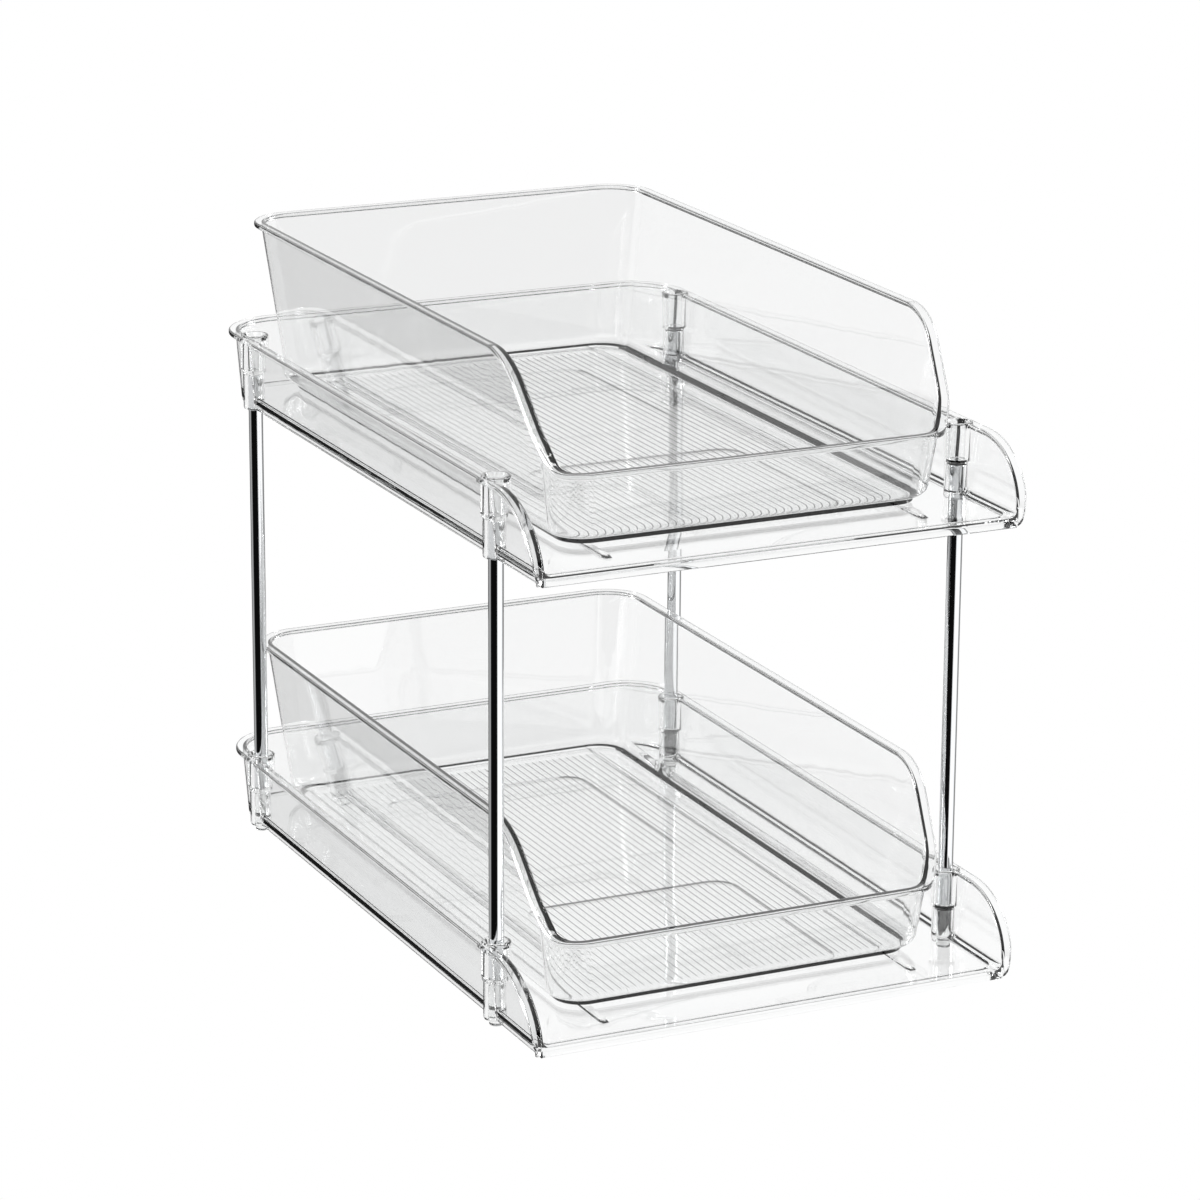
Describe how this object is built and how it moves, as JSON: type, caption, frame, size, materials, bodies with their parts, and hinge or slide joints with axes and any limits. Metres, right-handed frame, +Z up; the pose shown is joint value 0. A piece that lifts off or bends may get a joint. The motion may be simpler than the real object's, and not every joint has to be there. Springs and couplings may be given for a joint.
{
  "type": "two-tier pull-out organiser",
  "caption": "Two-tier storage organiser: shallow clear trays stacked on thin metal posts, each with a clear scoop-front bin that slides out forwards.",
  "frame": {"origin": "centre of the bottom of the object's box, on the surface that the four feet stand on", "axes": "+X to the right, +Y from the open front to the back, +Z up"},
  "size_m": [0.21, 0.324, 0.2613],
  "materials": {
    "tray_plastic": "clear, glossy",
    "bin_plastic": "clear, glossy",
    "post_metal": "polished",
    "foot_plastic": "clear, glossy"
  },
  "bodies": {
    "frame": {"lower_tray": "tray_plastic", "upper_tray": "tray_plastic", "post_front_left": "post_metal", "post_front_right": "post_metal", "post_rear_left": "post_metal", "post_rear_right": "post_metal", "foot_front_left": "foot_plastic", "foot_front_right": "foot_plastic", "foot_rear_left": "foot_plastic", "foot_rear_right": "foot_plastic"},
    "lower_bin": {"lower_bin": "bin_plastic"},
    "upper_bin": {"upper_bin": "bin_plastic"}
  },
  "joints": [
    {"name": "lower_bin_slide", "type": "slide", "parent": "frame", "child": "lower_bin", "axis": [0, -1, 0], "range_m": [0, 0.15]},
    {"name": "upper_bin_slide", "type": "slide", "parent": "frame", "child": "upper_bin", "axis": [0, -1, 0], "range_m": [0, 0.15]}
  ]
}
